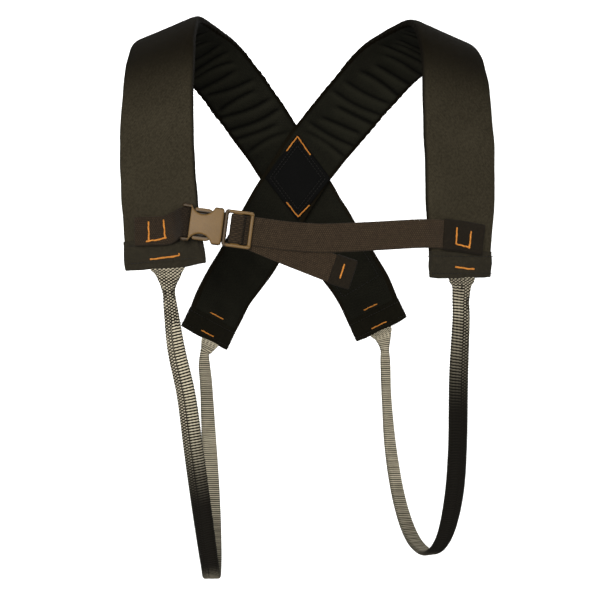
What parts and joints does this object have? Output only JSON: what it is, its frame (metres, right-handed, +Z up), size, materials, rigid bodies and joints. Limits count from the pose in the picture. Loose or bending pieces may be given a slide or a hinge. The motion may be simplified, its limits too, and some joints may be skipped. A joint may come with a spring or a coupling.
{
  "type": "climbing harness shoulder straps",
  "caption": "Padded shoulder harness whose straps cross at the back, with a buckled chest strap and a webbing loop hanging at each side to carry a climbing saddle.",
  "frame": {"origin": "midway between the undersides of the two straps at the top of the shoulders, where the harness rests", "axes": "+Z up, -Y towards the front of the wearer, +X towards the wearer's left"},
  "size_m": [0.3404, 0.2533, 0.5484],
  "materials": {
    "outer_fabric": "dark woven nylon, matte",
    "foam": "closed-cell foam, hidden",
    "lining": "soft black mesh, matte",
    "thread": "orange bar-tack thread",
    "side_webbing": "black and cream ribbed tubular webbing",
    "chest_webbing": "dark brown flat webbing, fine weave",
    "buckle": "satin bronze-brown moulded plastic"
  },
  "bodies": {
    "harness": {"right_strap_cover": "outer_fabric", "right_strap_foam": "foam", "right_strap_lining": "lining", "left_strap_cover": "outer_fabric", "left_strap_foam": "foam", "left_strap_lining": "lining", "right_front_cap": "outer_fabric", "right_back_cap": "outer_fabric", "left_front_cap": "outer_fabric", "left_back_cap": "outer_fabric", "cross_patch": "lining", "cross_tacks": "thread", "front_hem_tacks": "thread", "back_hem_tacks": "thread", "right_front_web_end": "side_webbing", "right_back_web_end": "side_webbing", "left_front_web_end": "side_webbing", "left_back_web_end": "side_webbing", "chest_strap": "chest_webbing", "chest_strap_slack": "chest_webbing", "left_anchor_patch": "outer_fabric", "left_anchor_tacks": "thread", "right_anchor_web": "chest_webbing", "right_anchor_tacks": "thread", "buckle_female": "buckle"},
    "male_half": {"buckle_male": "buckle", "ladder_web": "chest_webbing"},
    "latch_upper": {"latch_arm_upper": "buckle"},
    "latch_lower": {"latch_arm_lower": "buckle"},
    "tail": {"strap_tail": "chest_webbing", "tail_stop": "outer_fabric", "tail_tack": "thread"},
    "right_loop": {"right_side_loop": "side_webbing"},
    "left_loop": {"left_side_loop": "side_webbing"}
  },
  "joints": [
    {"name": "buckle_release", "type": "slide", "parent": "harness", "child": "male_half", "axis": [0.9914, 0, -0.1305], "range_m": [0, 0.026], "deforming": ["chest_strap_slack", "latch_arm_upper", "latch_arm_lower"]},
    {"name": "latch_upper_squeeze", "type": "hinge", "parent": "male_half", "child": "latch_upper", "pos_m": [-0.07712, -0.131, -0.18539], "axis": [0, -1, 0], "range_deg": [0, 8], "stiffness_Nm_per_rad": 0.05},
    {"name": "latch_lower_squeeze", "type": "hinge", "parent": "male_half", "child": "latch_lower", "pos_m": [-0.07986, -0.131, -0.20621], "axis": [0, 1, 0], "range_deg": [0, 8], "stiffness_Nm_per_rad": 0.05},
    {"name": "tail_swing", "type": "hinge", "parent": "male_half", "child": "tail", "pos_m": [-0.06996, -0.1262, -0.19693], "axis": [0.1305, 0, 0.9914], "range_deg": [0, 35]},
    {"name": "right_loop_swing", "type": "hinge", "parent": "harness", "child": "right_loop", "pos_m": [-0.122, -0.105, -0.25], "axis": [0.1134, 0.937, -0.3304], "range_deg": [-15, 35]},
    {"name": "left_loop_swing", "type": "hinge", "parent": "harness", "child": "left_loop", "pos_m": [0.137, -0.105, -0.26], "axis": [0.2075, -0.9439, 0.257], "range_deg": [-15, 35]}
  ]
}
